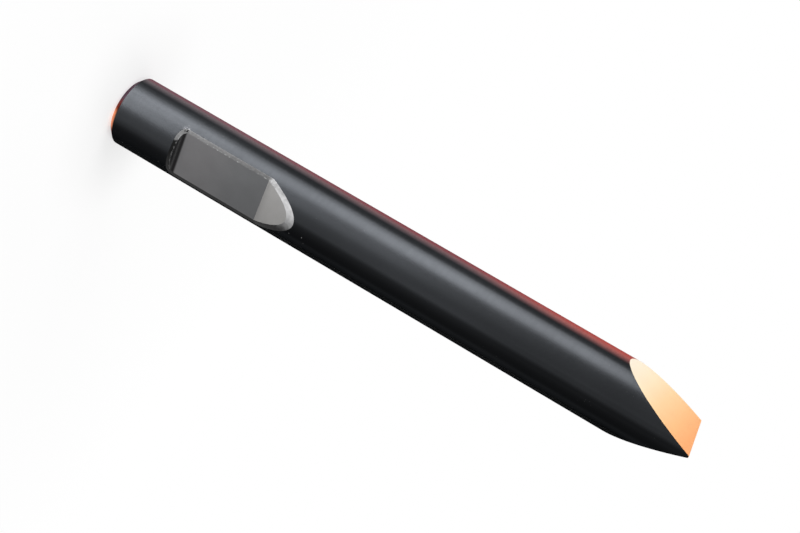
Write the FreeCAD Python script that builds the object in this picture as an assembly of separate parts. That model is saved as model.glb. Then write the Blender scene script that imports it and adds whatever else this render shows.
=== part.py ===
import FreeCAD, Part
import math
import os

# Hydraulic breaker chisel, forged and machined from one round steel bar: a bevelled striking
# head, two retaining-pin slots and a wedge point. Sizes are in millimetres and degrees. +Z runs
# along the bar, the origin is the centre of the striking face, and the point is up.

# Bar
shank_diameter = 150.0
overall_length = 1300.0
head_bevel = 11.5

# Wedge point: two flats that meet at a narrow blunt edge, which lies along Y
wedge_half_angle = 22.3
edge_thickness = 5.0

# Retaining-pin slots, the first one facing -Y. The shoulder at the head end rests on the pin
# when the tool hangs, and the ramp at the point end runs out of the bar.
slot_count = 2
slot_depth = 20.0
shoulder_height = 151.0
shoulder_root_radius = 12.0
slot_floor_length = 190.0
ramp_angle = 14.4

# Bevel round the rim of each slot: its depth below the shank's surface, and how far it spreads
# over that surface beside the floor and past the two ends
rim_depth = 3.0
rim_side_spread = 4.0
rim_end_spread = 7.0

shank_radius = shank_diameter / 2
floor_distance = shank_radius - slot_depth
ramp_start_height = shoulder_height + shoulder_root_radius + slot_floor_length
ramp_slope = math.tan(math.radians(ramp_angle))
wedge_slope = math.tan(math.radians(wedge_half_angle))

vector = FreeCAD.Vector
bar_axis = vector(0, 0, 1)


def turned_about_axis(shape, angle):
    """A copy of a shape, turned about the bar's axis."""
    turned = shape.copy()
    turned.rotate(vector(0, 0, 0), bar_axis, angle)
    return turned


def milling_cut(outline, direction):
    """The stock that a closed outline sweeps out of the bar, from one side right through."""
    width = 2 * shank_diameter
    face = Part.Face(outline)
    face.translate(direction * (-width / 2))
    return face.extrude(direction * width)


def turned_bar():
    """The bar as it leaves the lathe, with its striking face bevelled at 45 degrees."""
    outline = Part.makePolygon([
        vector(0, 0, 0),
        vector(shank_radius - head_bevel, 0, 0),
        vector(shank_radius, 0, head_bevel),
        vector(shank_radius, 0, overall_length),
        vector(0, 0, overall_length),
        vector(0, 0, 0),
    ])
    return Part.Face(outline).revolve(vector(0, 0, 0), bar_axis, 360)


def wedge_flat_cut():
    """The stock milled off to leave the wedge flat that faces -X."""
    half_edge = edge_thickness / 2
    drop = (shank_diameter - half_edge) / wedge_slope
    top = overall_length + shank_diameter
    outline = Part.makePolygon([
        vector(-half_edge, 0, overall_length),
        vector(-half_edge, 0, top),
        vector(-shank_diameter, 0, top),
        vector(-shank_diameter, 0, overall_length - drop),
        vector(-half_edge, 0, overall_length),
    ])
    return milling_cut(outline, vector(0, 1, 0))


def slot_cut(floor, shoulder, root_radius, ramp_start, runout_distance, runout):
    """The stock milled out of the -Y side for one slot. The floor lies that far from the axis.
    From the wall at height shoulder a root arc leads into the floor, and from height ramp_start
    the ramp rises through the point at runout_distance from the axis and height runout."""
    root_centre = vector(0, -floor - root_radius, shoulder + root_radius)
    arc_middle = root_centre + vector(0, root_radius, -root_radius) * math.sqrt(0.5)
    rise = (runout - ramp_start) / (runout_distance - floor)
    wall_top = vector(0, -shank_diameter, shoulder)
    wall_foot = root_centre - vector(0, 0, root_radius)
    floor_start = root_centre + vector(0, root_radius, 0)
    floor_end = vector(0, -floor, ramp_start)
    ramp_top = vector(0, -shank_diameter, ramp_start + (shank_diameter - floor) * rise)
    outline = Part.Wire([
        Part.LineSegment(wall_top, wall_foot).toShape(),
        Part.Arc(wall_foot, arc_middle, floor_start).toShape(),
        Part.LineSegment(floor_start, floor_end).toShape(),
        Part.LineSegment(floor_end, ramp_top).toShape(),
        Part.LineSegment(ramp_top, wall_top).toShape(),
    ])
    return milling_cut(outline, vector(1, 0, 0))


def patch_in_cut(radius, cut):
    """The part of a round wall about the bar's axis that lies inside a cut."""
    wall = Part.makeCylinder(radius, overall_length).Faces[0]
    return wall.common(cut).Faces[0]


def slot_cuts():
    """One slot, and the bevel of its rim. The bevel's faces are ruled from the outline that the
    slot leaves on a cylinder rim_depth below the shank's surface, out through the surface, to
    a wider outline on a cylinder as far above it."""
    inner_radius = shank_radius - rim_depth
    outer_radius = shank_radius + rim_depth
    inner_runout = ramp_start_height + (inner_radius - floor_distance) / ramp_slope
    slot = slot_cut(
        floor_distance,
        shoulder_height,
        shoulder_root_radius,
        ramp_start_height,
        inner_radius,
        inner_runout,
    )

    # Beside the floor, seen along the bar, the bevel is a straight line from the floor's edge
    # through a point on the surface, and goes on to the outer cylinder.
    side_angle = math.acos(floor_distance / shank_radius) + rim_side_spread / shank_radius
    side_start = vector(math.sqrt(inner_radius ** 2 - floor_distance ** 2), -floor_distance, 0)
    side_surface = vector(math.sin(side_angle), -math.cos(side_angle), 0) * shank_radius
    side_step = side_surface - side_start
    along = side_start.dot(side_step) / side_step.Length
    side_length = math.sqrt(along ** 2 + outer_radius ** 2 - inner_radius ** 2) - along
    side_growth = side_length / side_step.Length
    side_end = side_start + side_step * side_growth

    # In the slot's middle plane the two cylinders and the surface are evenly spaced, so past
    # the surface the bevel goes on by the same step again. The shoulder's wall is as tall in
    # both outlines.
    surface_runout = ramp_start_height + slot_depth / ramp_slope + rim_end_spread
    wall_height = inner_radius - floor_distance - shoulder_root_radius
    wide_slot = slot_cut(
        -side_end.y,
        shoulder_height - 2 * rim_end_spread,
        outer_radius + side_end.y - wall_height,
        ramp_start_height + rim_end_spread * side_growth,
        outer_radius,
        2 * surface_runout - inner_runout,
    )

    narrow_patch = patch_in_cut(inner_radius, slot)
    wide_patch = patch_in_cut(outer_radius, wide_slot)
    faces = [narrow_patch, wide_patch]
    for edge in narrow_patch.Edges:
        middle = edge.CenterOfMass
        partner = min(wide_patch.Edges, key=lambda other: (other.CenterOfMass - middle).Length)
        faces.append(Part.makeRuledSurface(edge, partner))
    shell = Part.makeShell(faces)
    shell.sewShape()
    return [slot, Part.Solid(shell)]


def chisel():
    """The finished bar."""
    wedge_flats = [turned_about_axis(wedge_flat_cut(), angle) for angle in (0, 180)]
    slots = []
    for index in range(slot_count):
        slots += [turned_about_axis(cut, index * 360 / slot_count) for cut in slot_cuts()]
    return turned_bar().cut(wedge_flats + slots)


os.makedirs("parts", exist_ok=True)
chisel().exportStep("parts/chisel.step")
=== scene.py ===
import math

import bmesh
import bpy
from mathutils import Matrix, Quaternion, Vector
from mathutils.geometry import delaunay_2d_cdt


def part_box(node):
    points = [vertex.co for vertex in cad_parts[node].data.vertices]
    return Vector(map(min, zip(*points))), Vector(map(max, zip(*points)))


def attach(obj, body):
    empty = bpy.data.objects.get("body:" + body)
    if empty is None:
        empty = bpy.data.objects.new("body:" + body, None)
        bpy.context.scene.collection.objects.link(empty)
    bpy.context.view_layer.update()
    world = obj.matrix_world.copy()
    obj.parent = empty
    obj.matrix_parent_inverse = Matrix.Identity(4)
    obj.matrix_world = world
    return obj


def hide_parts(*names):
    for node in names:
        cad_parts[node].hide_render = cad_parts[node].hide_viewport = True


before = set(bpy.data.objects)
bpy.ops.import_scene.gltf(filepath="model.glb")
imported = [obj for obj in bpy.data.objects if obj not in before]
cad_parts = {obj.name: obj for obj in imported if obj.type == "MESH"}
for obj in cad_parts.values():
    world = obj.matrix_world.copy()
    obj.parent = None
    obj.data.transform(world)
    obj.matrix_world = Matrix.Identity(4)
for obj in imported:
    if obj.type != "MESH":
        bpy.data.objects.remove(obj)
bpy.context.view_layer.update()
low_corner, high_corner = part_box("chisel")

# Sizes of the chisel in metres and degrees, as its source gives them
shank_radius = high_corner.x
overall_length = high_corner.z
head_bevel = 0.0115
wedge_half_angle = 22.3
edge_thickness = 0.005
slot_depth = 0.020
shoulder_height = 0.151
shoulder_root_radius = 0.012
slot_floor_length = 0.190
ramp_angle = 14.4
rim_depth = 0.003
rim_side_spread = 0.004
rim_end_spread = 0.007

floor_distance = shank_radius - slot_depth
ramp_start_height = shoulder_height + shoulder_root_radius + slot_floor_length
ramp_slope = math.tan(math.radians(ramp_angle))
wedge_slope = math.tan(math.radians(wedge_half_angle))

# Mesh: steps between points, and the small round that a grinder leaves on every edge
skin_step = 0.004
skin_stretch = 2.0
face_step = 0.004
edge_round = 0.0007
edge_round_segments = 2
crease_angle = math.radians(9)
merge_distance = 1e-6
shank_likeness = math.cos(math.radians(5))
shank_tolerance = 0.0005

# Faces of the chisel, in the order of its material slots
SKIN, HEAD, MILLED, RAMP, RIM, FLAT = range(6)


def on_bar(radius, turn, height):
    """The point at a radius from the bar's axis. turn is 0 in the slot's middle plane, on the -Y
    side, and a quarter turn in the wedge's middle plane, on the -X side."""
    return Vector((-radius * math.sin(turn), -radius * math.cos(turn), height))


def steps(start, end, count):
    """Evenly spaced values from start to end, both included."""
    return [start + (end - start) * index / count for index in range(count + 1)]


def line(start, end, step):
    """Evenly spaced points from start to end, about a step apart."""
    count = max(1, round((end - start).length / step))
    return [start.lerp(end, index / count) for index in range(count + 1)]


def chained(*runs):
    """One run of points from several that meet end to end."""
    points = list(runs[0])
    for run in runs[1:]:
        points += run[1:]
    return points


# Points along half of a slot's outline: over the wall, round the root, beside the floor and up
# the ramp
wall_count, root_count, floor_count, ramp_count = 8, 9, 48, 28


def slot_outline(radius, floor, shoulder, root_radius, ramp_start, runout):
    """The four stretches of half a slot's outline on a cylinder, from its middle plane to its
    middle plane. The floor lies that far from the axis, and the ramp runs out at that height."""
    wall_turn = math.acos((floor + root_radius) / radius)
    floor_turn = math.acos(floor / radius)
    rise = (runout - ramp_start) / (radius - floor)
    wall = [on_bar(radius, turn, shoulder) for turn in steps(0, wall_turn, wall_count)]
    root = []
    for turn in steps(0, math.pi / 2, root_count):
        depth = floor + root_radius * (1 - math.sin(turn))
        height = shoulder + root_radius * (1 - math.cos(turn))
        root.append(on_bar(radius, math.acos(depth / radius), height))
    side = [on_bar(radius, floor_turn, height)
            for height in steps(shoulder + root_radius, ramp_start, floor_count)]
    ramp = []
    for turn in steps(floor_turn, 0, ramp_count):
        ramp.append(on_bar(radius, turn, ramp_start + (radius * math.cos(turn) - floor) * rise))
    return wall, root, side, ramp


def slot_edges():
    """The stretches of half a slot's outline at the foot of its rim bevel, and of the same
    outline where the bevel comes out of the shank."""
    inner_radius = shank_radius - rim_depth
    outer_radius = shank_radius + rim_depth
    inner_runout = ramp_start_height + (inner_radius - floor_distance) / ramp_slope
    foot = slot_outline(inner_radius, floor_distance, shoulder_height, shoulder_root_radius,
                        ramp_start_height, inner_runout)

    side_turn = math.acos(floor_distance / shank_radius) + rim_side_spread / shank_radius
    side_start = on_bar(inner_radius, math.acos(floor_distance / inner_radius), 0)
    side_surface = on_bar(shank_radius, side_turn, 0)
    side_end = crossing(side_start, side_surface, outer_radius)
    side_growth = (side_end - side_start).length / (side_surface - side_start).length
    surface_runout = ramp_start_height + slot_depth / ramp_slope + rim_end_spread
    wall_height = inner_radius - floor_distance - shoulder_root_radius
    wide = slot_outline(outer_radius, -side_end.y, shoulder_height - 2 * rim_end_spread,
                        outer_radius + side_end.y - wall_height,
                        ramp_start_height + rim_end_spread * side_growth,
                        2 * surface_runout - inner_runout)
    top = [[crossing(a, b, shank_radius) for a, b in zip(*pair)] for pair in zip(foot, wide)]
    return foot, top


def crossing(start, through, radius):
    """The point where the line from start through another point reaches a radius."""
    step = through - start
    flat_start, flat_step = start.xy, step.xy
    square = flat_step.dot(flat_step)
    half = flat_start.dot(flat_step)
    rest = flat_start.dot(flat_start) - radius ** 2
    return start + step * ((math.sqrt(half ** 2 - square * rest) - half) / square)


def add_strip(mesh, rows, material):
    """Quads between rows of points. A quad that closes to a line is left out."""
    for lower, upper in zip(rows, rows[1:]):
        for index in range(len(lower) - 1):
            corners = [lower[index], lower[index + 1], upper[index + 1], upper[index]]
            add_face(mesh, corners, material)


def add_face(mesh, corners, material):
    distinct = [point for index, point in enumerate(corners)
                if (point - corners[index - 1]).length > merge_distance]
    if len(distinct) > 2:
        face = mesh.faces.new([mesh.verts.new(point) for point in distinct])
        face.material_index = material


def add_patch(mesh, outline, material, flatten, unflatten, step):
    """Triangles that fill a closed outline on a surface. flatten takes a point of the surface
    to the plane, and unflatten takes it back."""
    border = [flatten(point) for point in outline]
    count = len(border)
    low = Vector((min(point.x for point in border), min(point.y for point in border)))
    high = Vector((max(point.x for point in border), max(point.y for point in border)))
    columns = max(1, round((high.x - low.x) / step))
    rows = max(1, round((high.y - low.y) / step))
    inner = []
    for column in range(1, columns):
        for row in range(1, rows):
            point = Vector((low.x + (high.x - low.x) * column / columns,
                            low.y + (high.y - low.y) * row / rows))
            if clear_of(border, point, step * 0.6):
                inner.append(point)
    spots, _, triangles, origins, _, _ = delaunay_2d_cdt(
        border + inner, [], [list(range(count))], 1, merge_distance)
    places = []
    for spot, origin in zip(spots, origins):
        on_border = [index for index in origin if index < count]
        places.append(outline[on_border[0]] if on_border else unflatten(spot))
    for triangle in triangles:
        add_face(mesh, [places[index] for index in triangle], material)


def clear_of(border, point, gap):
    """Whether a point lies at least a gap from every stretch of a border."""
    for start, end in zip(border, border[1:] + border[:1]):
        stretch = end - start
        along = max(0.0, min(1.0, (point - start).dot(stretch) / stretch.length_squared))
        if (start + stretch * along - point).length < gap:
            return False
    return True


def chisel_quarter():
    """A quarter of the chisel, on the -X and -Y side: half of one slot and of one wedge flat."""
    mesh = bmesh.new()
    turns = steps(0, math.pi / 2, 30)
    half_edge = edge_thickness / 2
    edge_turn = math.asin(half_edge / shank_radius)
    wedge_turns = steps(edge_turn, math.pi / 2, 36)
    wedge_edge = []
    for turn in wedge_turns:
        drop = (shank_radius * math.sin(turn) - half_edge) / wedge_slope
        wedge_edge.append(on_bar(shank_radius, turn, overall_length - drop))
    foot, top = slot_edges()
    foot_run, top_run = chained(*foot), chained(*top)

    # Striking face and its bevel
    face_radius = shank_radius - head_bevel
    face_ring = [on_bar(face_radius, turn, 0) for turn in turns]
    bevel_rows = [[on_bar(face_radius + rise, turn, rise) for turn in turns]
                  for rise in steps(0, head_bevel, 4)]
    add_strip(mesh, bevel_rows, HEAD)
    centre = Vector((0, 0, 0))
    outline = chained(line(centre, face_ring[0], face_step), face_ring,
                      line(face_ring[-1], centre, face_step))[:-1]
    add_patch(mesh, outline, HEAD, lambda point: point.xy.copy(),
              lambda spot: Vector((spot.x, spot.y, 0)), face_step)

    # Shank
    bar_step = skin_step * skin_stretch
    outline = chained(
        line(bevel_rows[-1][0], top_run[0], bar_step),
        top_run,
        line(top_run[-1], on_bar(shank_radius, 0, overall_length), bar_step),
        [on_bar(shank_radius, turn, overall_length) for turn in (0, edge_turn)],
        wedge_edge,
        line(wedge_edge[-1], bevel_rows[-1][-1], bar_step),
        bevel_rows[-1][::-1],
    )[:-1]
    add_patch(
        mesh, outline, SKIN,
        lambda point: Vector((math.atan2(-point.x, -point.y) * shank_radius,
                              point.z / skin_stretch)),
        lambda spot: on_bar(shank_radius, spot.x / shank_radius, spot.y * skin_stretch),
        skin_step)

    # Rim bevel, wall, root and floor of the slot
    for low_run, high_run in zip(foot, top):
        rows = [[a.lerp(b, share) for a, b in zip(low_run, high_run)] for share in steps(0, 1, 2)]
        add_strip(mesh, rows, RIM)
    wall, root, side, ramp = foot
    across = [index / 12 for index in range(13)]
    rows = [[Vector((point.x * share, point.y, point.z)) for share in across] for point in root]
    add_strip(mesh, rows, MILLED)
    rows = [[Vector((point.x * share, point.y, point.z)) for share in across] for point in side]
    add_strip(mesh, rows, MILLED)
    wall_foot = [Vector((root[0].x * share, root[0].y, root[0].z)) for share in across]
    outline = chained(wall, wall_foot[::-1], line(wall_foot[0], wall[0], face_step))[:-1]
    add_patch(mesh, outline, MILLED, lambda point: point.xy.copy(),
              lambda spot: Vector((spot.x, spot.y, shoulder_height)), face_step)

    # Ramp
    ramp_foot = [Vector((ramp[0].x * share, ramp[0].y, ramp[0].z)) for share in across]
    outline = chained(ramp, line(ramp[-1], ramp_foot[0], face_step), ramp_foot)[:-1]
    add_patch(
        mesh, outline, RAMP,
        lambda point: Vector((point.x, point.z)),
        lambda spot: Vector((spot.x, -floor_distance - (spot.y - ramp_start_height) * ramp_slope,
                             spot.y)),
        face_step)

    # Wedge flat, and the blunt edge between the flats
    edge_line = line(wedge_edge[0], Vector((-half_edge, 0, overall_length)), face_step)
    outline = chained(wedge_edge[::-1], edge_line,
                      line(edge_line[-1], wedge_edge[-1], face_step))[:-1]
    add_patch(
        mesh, outline, FLAT,
        lambda point: Vector((point.y, point.z)),
        lambda spot: Vector((-half_edge - (overall_length - spot.y) * wedge_slope, spot.x,
                             spot.y)),
        face_step)
    middle_line = [Vector((0, point.y, point.z)) for point in edge_line]
    middle_line[0] = on_bar(shank_radius, 0, overall_length)
    add_strip(mesh, [edge_line, middle_line], FLAT)
    return mesh


def chisel_mesh():
    """The whole chisel: a quarter and its mirror images, with its edges rounded."""
    mesh = chisel_quarter()
    for mirror in (Matrix.Diagonal((-1, 1, 1, 1)), Matrix.Diagonal((1, -1, 1, 1))):
        copy = bmesh.ops.duplicate(mesh, geom=mesh.verts[:] + mesh.edges[:] + mesh.faces[:])
        corners = [part for part in copy["geom"] if isinstance(part, bmesh.types.BMVert)]
        bmesh.ops.transform(mesh, matrix=mirror, verts=corners)
    bmesh.ops.remove_doubles(mesh, verts=mesh.verts, dist=merge_distance * 10)
    bmesh.ops.recalc_face_normals(mesh, faces=mesh.faces)
    creases = [edge for edge in mesh.edges if edge.calc_face_angle(0) > crease_angle]
    bmesh.ops.bevel(mesh, geom=creases, offset=edge_round, offset_type="OFFSET",
                    segments=edge_round_segments, profile=0.5, affect="EDGES",
                    clamp_overlap=True, material=-1, loop_slide=True)
    for face in mesh.faces:
        face.smooth = True
    return mesh


def corner_normals(mesh):
    """A normal for each corner point: square to the bar on the shank, and elsewhere the mean of
    the faces round the point, weighted by area, so that flat faces stay flat up to their edges."""
    normals = []
    for point in mesh.verts:
        outward = Vector((point.co.x, point.co.y, 0))
        on_shank = outward.length > shank_radius - shank_tolerance
        outward.normalize()
        if on_shank and all(face.normal.dot(outward) > shank_likeness
                            for face in point.link_faces):
            normals.append(outward)
            continue
        total = Vector()
        for face in point.link_faces:
            total += face.normal * face.calc_area()
        normals.append(total.normalized())
    return normals


class Finish:
    """A procedural material. Each method but set and put adds nodes and gives a socket."""

    def __init__(self, name):
        self.material = bpy.data.materials.new(name)
        self.material.use_nodes = True
        self.tree = self.material.node_tree
        self.shader = self.tree.nodes["Principled BSDF"]
        self.place = self.node("TexCoord", output="Object")
        self.height = self.along((0, 0, 1))

    def set(self, name, value):
        """Give one of the shader's sockets a value or a link."""
        self.put(self.shader.inputs[name], value)

    def put(self, socket, value):
        if isinstance(value, bpy.types.NodeSocket):
            self.tree.links.new(value, socket)
        else:
            socket.default_value = value

    def node(self, kind, inputs=(), output=0, **settings):
        """A new node. inputs pairs its inputs' names or numbers with sockets or values."""
        node = self.tree.nodes.new("ShaderNode" + kind)
        for name, value in settings.items():
            setattr(node, name, value)
        for name, value in inputs:
            self.put(node.inputs[name], value)
        return node.outputs[output]

    def math(self, operation, first, second=0.0):
        return self.node("Math", [(0, first), (1, second)], operation=operation)

    def product(self, *factors):
        total = factors[0]
        for factor in factors[1:]:
            total = self.math("MULTIPLY", total, factor)
        return total

    def less(self, *shares):
        """1 less the product of some shares."""
        return self.math("SUBTRACT", 1.0, self.product(*shares))

    def along(self, way):
        """How far a point lies from the origin in one direction, in metres."""
        return self.node("VectorMath", [(0, self.place), (1, way)], "Value",
                         operation="DOT_PRODUCT")

    def ranged(self, value, low, high, to_low=0.0, to_high=1.0):
        """A value moved smoothly from one range to another, and held past its ends."""
        inputs = [("Value", value), ("From Min", low), ("From Max", high),
                  ("To Min", to_low), ("To Max", to_high)]
        return self.node("MapRange", inputs, interpolation_type="SMOOTHSTEP")

    def facing(self, azimuth, near, far, wider=0.0):
        """How much a point of the bar faces an azimuth: 1 up to near degrees from it, and 0
        from far degrees. wider is added to the cosine of the point's angle from the azimuth."""
        toward = self.math("DIVIDE", self.along(direction(azimuth)), shank_radius)
        toward = self.math("ADD", toward, wider)
        return self.ranged(toward, math.cos(math.radians(far)), math.cos(math.radians(near)))

    def noise(self, grains, stretch=(1, 1, 1), low=0.0, high=1.0, detail=3.0):
        """Noise from low to high, with that many grains to the metre, times the stretch."""
        place = self.node("VectorMath", [(0, self.place), (1, stretch)], operation="MULTIPLY")
        inputs = [("Vector", place), ("Scale", grains), ("Detail", detail)]
        return self.ranged(self.node("TexNoise", inputs), 0.3, 0.7, low, high)

    def specks(self, cells, size):
        """Round specks, one in each of that many cells to the metre. size is in cells."""
        distance = self.node("TexVoronoi", [("Vector", self.place), ("Scale", cells)],
                             "Distance")
        return self.ranged(distance, size / 2, size, 1.0, 0.0)

    def mix(self, share, first, second):
        return self.node("Mix", [(0, share), (6, first), (7, second)], 2, data_type="RGBA")

    def scaled(self, colour, *factors):
        """A colour made lighter or darker by factors."""
        return self.node("VectorMath", [(0, colour), ("Scale", self.product(*factors))],
                         operation="SCALE")

    def relief(self, height, depth, under=None):
        """A bumpy surface, depth metres from its low to its high points."""
        inputs = [("Height", height), ("Distance", depth)]
        if under is not None:
            inputs.append(("Normal", under))
        return self.node("Bump", inputs)


def direction(azimuth):
    """The level direction at an azimuth in degrees from +X towards +Y."""
    return Vector((math.cos(math.radians(azimuth)), math.sin(math.radians(azimuth)), 0))


# Corner of the slot where the rim and the skin are chipped: its place beside the slot's middle
# plane, and its height
chipped_corner = (-0.0505, 0, shoulder_height + 0.005)


def corner_chips(look, near, far, grains, low, high):
    """Grainy patch at the chipped corner: full up to near metres from it, and gone at far."""
    corner = look.node("CombineXYZ", [(0, slot_side(look)), (2, look.height)])
    distance = look.node("VectorMath", [(0, corner), (1, chipped_corner)], "Value",
                         operation="DISTANCE")
    return look.product(look.ranged(distance, near, far, 1.0, 0.0),
                        look.noise(grains, low=low, high=high))


def black_skin():
    """Satin black skin that hardening and oil leave, with a red-brown band down one side that is a
    painted reflection of a warm light, and painted shade and a painted highlight in zones along the
    bar. The lathe's fine marks show through it, and handling has left a few bright specks."""
    look = Finish("black_skin")
    look.set("Specular Tint", (0.4, 0.4, 0.4, 1))
    look.set("Specular IOR Level", 0.0)
    tone = look.noise(7, (1, 1, 0.4), 0.9, 1.1)
    # Painted shade and a painted highlight: these factors darken the skin on the sides turned from
    # the light, in a line beside the red band, towards the tip and at the top, and lighten it near
    # the head where the highlight falls. Only tone is a random change of tone.
    flank = look.less(look.facing(307, 22, 46), 0.62)
    far_flank = look.less(look.facing(326, 12, 24), 0.4)
    beside = look.less(look.facing(278, 8, 17), look.ranged(look.height, 0.15, 0.45, 0.15, 0.5))
    at_head = look.less(look.facing(287, 8, 18), look.ranged(look.height, 0.1, 0.25, 0.35, 0.0))
    painted_dark_line = look.less(look.facing(195, 1, 9), look.ranged(look.height, 0.15, 0.45, 0.32, 0.5))
    painted_highlight_near_head = look.less(look.facing(206, 3, 14), look.ranged(look.height, 0.1, 0.35, -0.3, 0.0))
    toward_tip = look.less(look.facing(241, 6, 20), look.ranged(look.height, 0.55, 0.8, 0.0, 0.2))
    tip_side = look.less(look.facing(264, 4, 10), look.ranged(look.height, 0.75, 1.05, 0.0, 0.24))
    tip = look.ranged(look.height, 1.05, 1.18, 1.0, 0.85)
    black = look.scaled((0.0312, 0.0332, 0.0364), tone, flank, far_flank, beside, at_head,
                        painted_dark_line, painted_highlight_near_head, toward_tip, tip_side, tip)
    bright = look.product(look.specks(130, 0.08), look.noise(14, low=-0.8, high=0.6))
    black = look.mix(bright, black, (0.12, 0.12, 0.125, 1))
    by_slot = look.product(look.ranged(slot_side(look), 0.0, 0.02),
                           look.ranged(look.height, 0.10, 0.14),
                           look.ranged(look.height, 0.45, 0.48, 1.0, 0.0))
    grit = look.product(look.specks(110, 0.15), by_slot, look.noise(45, low=-1.3, high=1.4))
    black = look.mix(grit, black, (0.3, 0.3, 0.3, 1))
    chips = corner_chips(look, 0.004, 0.010, 420, -1.4, 1.2)
    black = look.mix(chips, black, (0.11, 0.11, 0.115, 1))

    # Painted reflection of a warm light behind the bar: a red band down one side, greyer on its inner
    # part and redder towards the tip, which takes the place of the black skin where it lies.
    middle = look.ranged(look.height, 0.1, 0.7)
    upper = look.ranged(look.height, 0.7, 1.12)
    red = look.mix(middle, (0.091, 0.043, 0.052, 1), (0.110, 0.032, 0.037, 1))
    red = look.mix(upper, red, (0.219, 0.044, 0.038, 1))
    greyer_reflection = look.mix(middle, (0.077, 0.061, 0.065, 1), (0.101, 0.055, 0.058, 1))
    greyer_reflection = look.mix(upper, greyer_reflection, (0.205, 0.060, 0.054, 1))
    tint = look.mix(look.facing(156, 13, 24), greyer_reflection, red)
    reflection_band = look.facing(156, 15, 36.8, look.ranged(look.height, 0.75, 0.95, 0.0, 0.012))
    look.set("Base Color", look.mix(reflection_band, black, tint))
    grazing = look.node("LayerWeight", [("Blend", 0.5)], "Facing")
    metal = look.ranged(grazing, 0.52, 0.74, 0.88, 0.0)
    look.set("Metallic", look.product(metal, look.less(reflection_band)))
    look.set("Roughness", look.noise(30, (1, 1, 12), 0.33, 0.39))
    marks = look.noise(40, (1, 1, 30), detail=2.0)
    look.set("Normal", look.relief(marks, 0.00001))
    return look.material


def head_painted_reflection():
    """Steel of the striking face and its bevel, with a painted reflection of a warm light on it:
    orange on one side, and purple-brown elsewhere. Painted shade darkens the side turned away, and
    painted light changes the bevel's lightness across it."""
    look = Finish("head_painted_reflection")
    look.set("Metallic", 1.0)
    toward = look.math("DIVIDE", look.along(direction(272.5)),
                       look.node("VectorMath", [(0, look.place)], "Value", operation="LENGTH"))
    # Painted reflection of a warm light: the colour turns from purple-brown to red and orange towards
    # one side.
    red = look.mix(look.ranged(toward, 0.72, 0.94), (0.118, 0.074, 0.092, 1),
                   (0.27, 0.062, 0.042, 1))
    orange_reflection = look.ranged(toward, 0.915, 0.988)
    look.set("Specular Tint", look.mix(orange_reflection, (0.36, 0.34, 0.36, 1), (0.88, 0.62, 0.54, 1)))
    colour = look.mix(orange_reflection, red, (0.89, 0.32, 0.152, 1))
    # Painted light and shade across the bevel, and painted shade on the side turned away.
    painted_light_across_bevel = look.product(look.ranged(look.height, 0.004, head_bevel),
                         look.ranged(toward, 0.75, 0.93, 0.3, -0.70))
    painted_light_across_bevel = look.math("ADD", 1.0, painted_light_across_bevel)
    painted_shade_away = look.ranged(toward, 0.05, 0.40, 0.55, 1.0)
    look.set("Base Color", look.scaled(colour, painted_light_across_bevel, painted_shade_away, look.noise(90, low=0.85, high=1.1)))
    look.set("Roughness", look.noise(120, low=0.36, high=0.46))
    look.set("Normal", look.relief(look.noise(350), 0.00008))
    return look.material


def milled_slot():
    """Grey milled steel of the slot, lighter towards the shoulder and on its left side by painted
    light.
    Painted shade makes it black where its root curves up to the shoulder, and painted light brightens
    its wall.
    """
    look = Finish("milled_slot")
    look.set("Metallic", 1.0)
    side = slot_side(look)
    # Painted light and shade: lighter towards the shoulder and on the left side, painted shade that
    # makes the root black where it curves up, and painted light on the wall at the shoulder.
    down_slot = look.ranged(look.height, 0.15, 0.36, 0.150, 0.113)
    across = look.ranged(side, -0.05, 0.05, 1.1, 0.89)
    root_top = shoulder_height + shoulder_root_radius
    root = look.ranged(look.height, root_top - 0.0055, root_top - 0.0008, 0.1, 1.0)
    wall = look.ranged(look.height, shoulder_height, shoulder_height + 0.004, 3.6, 1.0)
    cloud = look.noise(22, low=0.96, high=1.04)
    grey = look.mix(look.ranged(look.height, 0.2, 0.32), (1.0, 0.985, 1.01, 1), (0.985, 1.0, 1.03, 1))
    look.set("Base Color", look.scaled(grey, down_slot, across, root, wall, cloud))
    look.set("Roughness", look.noise(40, (14, 14, 1), 0.36, 0.44))
    look.set("Normal", look.relief(look.noise(60, (16, 16, 1), detail=2.0), 0.00002))
    return look.material


def slot_side(look):
    """How far a point lies to the side of its slot's middle plane. It is negative on the left
    as one looks at the slot, with the point up."""
    front = look.math("SIGN", look.along((0, -1, 0)))
    return look.product(look.along((1, 0, 0)), front)


def ground_ramp():
    """Pale, slightly warm steel of the ramp, ground after milling."""
    look = Finish("ground_ramp")
    look.set("Metallic", 0.35)
    look.set("Specular IOR Level", 0.0)
    # Painted light and shade: lighter on the left side, and painted shade darkening the foot where
    # the ramp meets the slot floor.
    across = look.ranged(slot_side(look), -0.05, 0.05, 1.05, 0.84)
    cloud = look.noise(25, low=0.97, high=1.03)
    foot = look.ranged(look.height, ramp_start_height, ramp_start_height + 0.015, 0.86, 1.0)
    look.set("Base Color", look.scaled((0.264, 0.260, 0.255), across, foot, cloud))
    look.set("Roughness", look.noise(50, (1, 14, 14), 0.36, 0.46))
    look.set("Normal", look.relief(look.noise(60, (1, 16, 16), detail=2.0), 0.00002))
    return look.material


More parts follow.
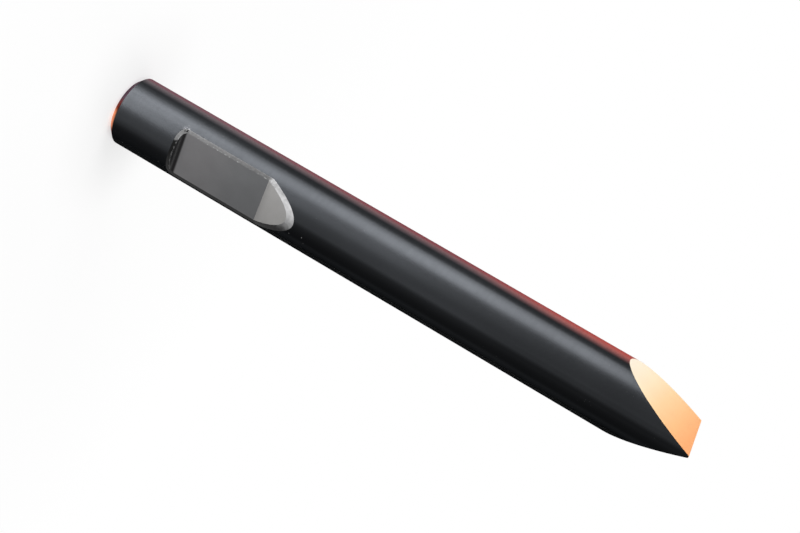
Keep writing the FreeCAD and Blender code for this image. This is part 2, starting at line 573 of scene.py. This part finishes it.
def slot_rim():
    """Hand-ground bevel round the slot: bare steel past the ramp, and half-bare or still black
    elsewhere, with a painted highlight along its crest at the shoulder."""
    look = Finish("slot_rim")
    look.set("Metallic", 1.0)
    wander = look.noise(160, low=-0.002, high=0.002)
    side = look.math("ADD", slot_side(look), wander)
    root_top = shoulder_height + shoulder_root_radius
    left = look.product(look.ranged(side, -0.032, -0.025, 1.0, 0.07),
                        look.ranged(look.height, root_top, ramp_start_height, 0.135, 0.112),
                        look.ranged(look.height, root_top - 0.012, root_top, 1.3, 1.0))
    right = look.product(look.ranged(side, -0.005, 0.020),
                         look.ranged(look.height, root_top - 0.012, root_top, 0.011, 0.015))
    half_bare = look.math("ADD", left, right)
    corner = look.ranged(side, -0.050, -0.028, 0.20, 0.52)
    past_ramp = look.product(corner, look.ranged(side, -0.025, 0.031, 1.0, 0.047))
    at_ramp = look.ranged(look.height, ramp_start_height - 0.004, ramp_start_height + 0.005)
    bare = look.math("ADD", look.product(half_bare, look.less(at_ramp)),
                     look.product(past_ramp, at_ramp))
    out = look.node("VectorMath", [(0, look.place), (1, (1, 1, 0))], operation="MULTIPLY")
    out = look.node("VectorMath", [(0, out)], "Value", operation="LENGTH")
    foot = shank_radius - rim_depth
    # Painted highlight: a thin light line along the rim's crest at the shoulder, added to the bare
    # steel's share.
    painted_crest_highlight = look.product(look.ranged(out, foot + 0.0006, foot + 0.0011, 1.0, 0.0),
                         look.ranged(look.height, shoulder_height, shoulder_height + 0.003,
                                     1.0, 0.0),
                         look.noise(200, low=-0.6, high=1.1), 0.09)
    bare = look.math("ADD", bare, painted_crest_highlight)
    burrs = look.product(look.ranged(out, foot + 0.0003, foot + 0.0010, 1.0, 0.0),
                         look.ranged(side, -0.035, -0.030, 1.0, 0.0),
                         look.noise(170, low=-3.1, high=0.95), 0.15)
    bare = look.math("ADD", bare, look.math("MAXIMUM", burrs, 0.0))
    bare = look.math("SUBTRACT", bare, look.product(
        look.math("MAXIMUM", corner_chips(look, 0.003, 0.008, 380, -0.5, 1.8), 0.0), 0.09))
    bare = look.math("MAXIMUM", bare, 0.009)
    cloud = look.noise(150, low=0.92, high=1.08)
    look.set("Base Color", look.scaled((1.0, 1.0, 1.01), bare, cloud))
    look.set("Roughness", look.noise(150, low=0.36, high=0.46))
    look.set("Normal", look.relief(look.noise(300), 0.00003))
    return look.material


def ground_flat():
    """Wedge flat, ground bright. A painted reflection of a warm light on it deepens from pale straw
    to orange at the edge.
    """
    look = Finish("ground_flat")
    look.set("Metallic", 0.6)
    look.set("Specular IOR Level", 0.0)
    # Bright ground steel with a painted reflection of a warm light over it: pale straw at the root,
    # deepening to orange towards the edge.
    reflection_stops = [(1.125, (0.720, 0.636, 0.519)), (1.175, (0.735, 0.592, 0.402)),
             (1.215, (0.738, 0.505, 0.273)), (1.26, (0.742, 0.402, 0.177)),
             (1.298, (0.742, 0.324, 0.126))]
    aslant = look.along((0, -0.2, 1))
    colour = (*reflection_stops[0][1], 1)
    for (low, _), (high, tint) in zip(reflection_stops, reflection_stops[1:]):
        share = look.node("MapRange", [("Value", aslant), ("From Min", low),
                                       ("From Max", high)])
        colour = look.mix(share, colour, (*tint, 1))
    # Painted reflection: an orange line at the very edge.
    edge = look.ranged(look.height, overall_length - 0.0005, overall_length - 0.0002)
    colour = look.mix(edge, colour, (0.780, 0.350, 0.155, 1))
    look.set("Base Color", look.scaled(colour, look.noise(25, low=0.985, high=1.015)))
    look.set("Roughness", look.noise(60, (14, 1, 14), 0.36, 0.44))
    look.set("Normal", look.relief(look.noise(60, (16, 1, 16), detail=2.0), 0.00002))
    return look.material


def add_chisel():
    mesh = chisel_mesh()
    normals = corner_normals(mesh)
    data = bpy.data.meshes.new("chisel_steel")
    mesh.to_mesh(data)
    mesh.free()
    data.normals_split_custom_set_from_vertices(normals)
    for finish in (black_skin, head_painted_reflection, milled_slot, ground_ramp, slot_rim, ground_flat):
        data.materials.append(finish())
    chisel = bpy.data.objects.new("chisel_steel", data)
    bpy.context.scene.collection.objects.link(chisel)
    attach(chisel, "root")
    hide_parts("chisel")


# Camera, at the photograph's viewing angle: its place, its bearing from +Y towards +X, how far
# it looks down, and its roll
camera_place = Vector((-1.13056, -2.14599, 1.06013))
camera_bearing = math.radians(27.781)
camera_dip = math.radians(9.598)
camera_roll = math.radians(120.303)
camera_lens = 56.40


def add_camera():
    ahead = Vector((math.sin(camera_bearing) * math.cos(camera_dip),
                    math.cos(camera_bearing) * math.cos(camera_dip), -math.sin(camera_dip)))
    level_right = Vector((math.cos(camera_bearing), -math.sin(camera_bearing), 0))
    level_up = level_right.cross(ahead)
    right = level_right * math.cos(camera_roll) + level_up * math.sin(camera_roll)
    up = level_up * math.cos(camera_roll) - level_right * math.sin(camera_roll)
    camera = bpy.data.objects.new("camera", bpy.data.cameras.new("camera"))
    camera.data.lens = camera_lens
    camera.data.sensor_width = 36.0
    turn = Matrix((right, up, -ahead)).transposed().to_4x4()
    camera.matrix_world = Matrix.Translation(camera_place) @ turn
    bpy.context.scene.collection.objects.link(camera)
    bpy.context.scene.camera = camera


# Studio: a pale floor that the chisel stands on, soft boxes round it, and an even white ground
floor_radius = 12.0
ambient_light = 0.35


def add_floor():
    mesh = bmesh.new()
    bmesh.ops.create_circle(mesh, cap_ends=True, segments=96, radius=floor_radius)
    data = bpy.data.meshes.new("floor")
    mesh.to_mesh(data)
    mesh.free()
    floor = bpy.data.objects.new("floor", data)
    bpy.context.scene.collection.objects.link(floor)
    floor.visible_glossy = False
    floor.visible_shadow = False
    look = Finish("floor")
    look.set("Base Color", (0.85, 0.85, 0.85, 1))
    look.set("Roughness", 1.0)
    look.set("Specular IOR Level", 0.0)
    away = look.node("VectorMath", [(0, look.place)], "Value", operation="LENGTH")
    white = look.product(look.ranged(away, 0.08, 0.28, 0.72, 1.0),
                         look.ranged(away, 0.3, 2.0, 0.91, 1.0),
                         look.node("LightPath", output="Is Camera Ray"))
    shown = look.node("MixShader", [(0, white), (1, look.shader.outputs[0]),
                                    (2, look.node("Emission"))])
    look.put(look.tree.nodes["Material Output"].inputs["Surface"], shown)
    data.materials.append(look.material)


def add_soft_box(name, azimuth, distance, middle, width, height, radiance, lean=0.0):
    """A soft box that faces the chisel's axis and leans sideways by some degrees. middle is the
    height of its middle, in metres."""
    data = bpy.data.lights.new(name, "AREA")
    data.shape = "RECTANGLE"
    data.size = width
    data.size_y = height
    data.energy = radiance * math.pi * width * height
    box = bpy.data.objects.new(name, data)
    toward = direction(azimuth)
    box.location = toward * distance + Vector((0, 0, middle))
    box.rotation_mode = "QUATERNION"
    upright = (-toward).to_track_quat("-Z", "Y")
    box.rotation_quaternion = upright @ Quaternion((0, 0, 1), math.radians(lean))
    box.visible_camera = False
    bpy.context.scene.collection.objects.link(box)


def add_top_light():
    data = bpy.data.lights.new("top", "AREA")
    data.size = 3.0
    data.energy = 2.0 * math.pi * data.size ** 2
    light = bpy.data.objects.new("top", data)
    light.location = (0, 0, 3.6)
    light.visible_camera = False
    bpy.context.scene.collection.objects.link(light)


def add_world():
    world = bpy.data.worlds.new("studio")
    world.use_nodes = True
    tree = world.node_tree
    ambient = tree.nodes["Background"]
    ambient.inputs["Color"].default_value = (1, 1, 1, 1)
    ambient.inputs["Strength"].default_value = ambient_light
    white = tree.nodes.new("ShaderNodeBackground")
    white.inputs["Color"].default_value = (1, 1, 1, 1)
    white.inputs["Strength"].default_value = 1.0
    path = tree.nodes.new("ShaderNodeLightPath")
    seen = path.outputs["Is Camera Ray"]
    for ray in ("Is Glossy Ray", "Is Transmission Ray"):
        either = tree.nodes.new("ShaderNodeMath")
        either.operation = "MAXIMUM"
        tree.links.new(seen, either.inputs[0])
        tree.links.new(path.outputs[ray], either.inputs[1])
        seen = either.outputs[0]
    mix = tree.nodes.new("ShaderNodeMixShader")
    tree.links.new(seen, mix.inputs[0])
    tree.links.new(ambient.outputs[0], mix.inputs[1])
    tree.links.new(white.outputs[0], mix.inputs[2])
    tree.links.new(mix.outputs[0], tree.nodes["World Output"].inputs["Surface"])
    bpy.context.scene.world = world
    bpy.context.scene.view_settings.view_transform = "Standard"


add_chisel()
add_camera()
add_floor()
add_soft_box("key", 189, 2.2, 0.1, 1.4, 2.8, 8.2, 12)
add_soft_box("low_fill", 221, 2.2, -1.2, 1.85, 0.6, 11.0)
add_soft_box("side_fill", 232, 2.2, -0.55, 0.9, 1.9, 2.2)
add_soft_box("back", 40, 2.4, 0.6, 1.2, 2.2, 4.2)
add_top_light()
add_world()
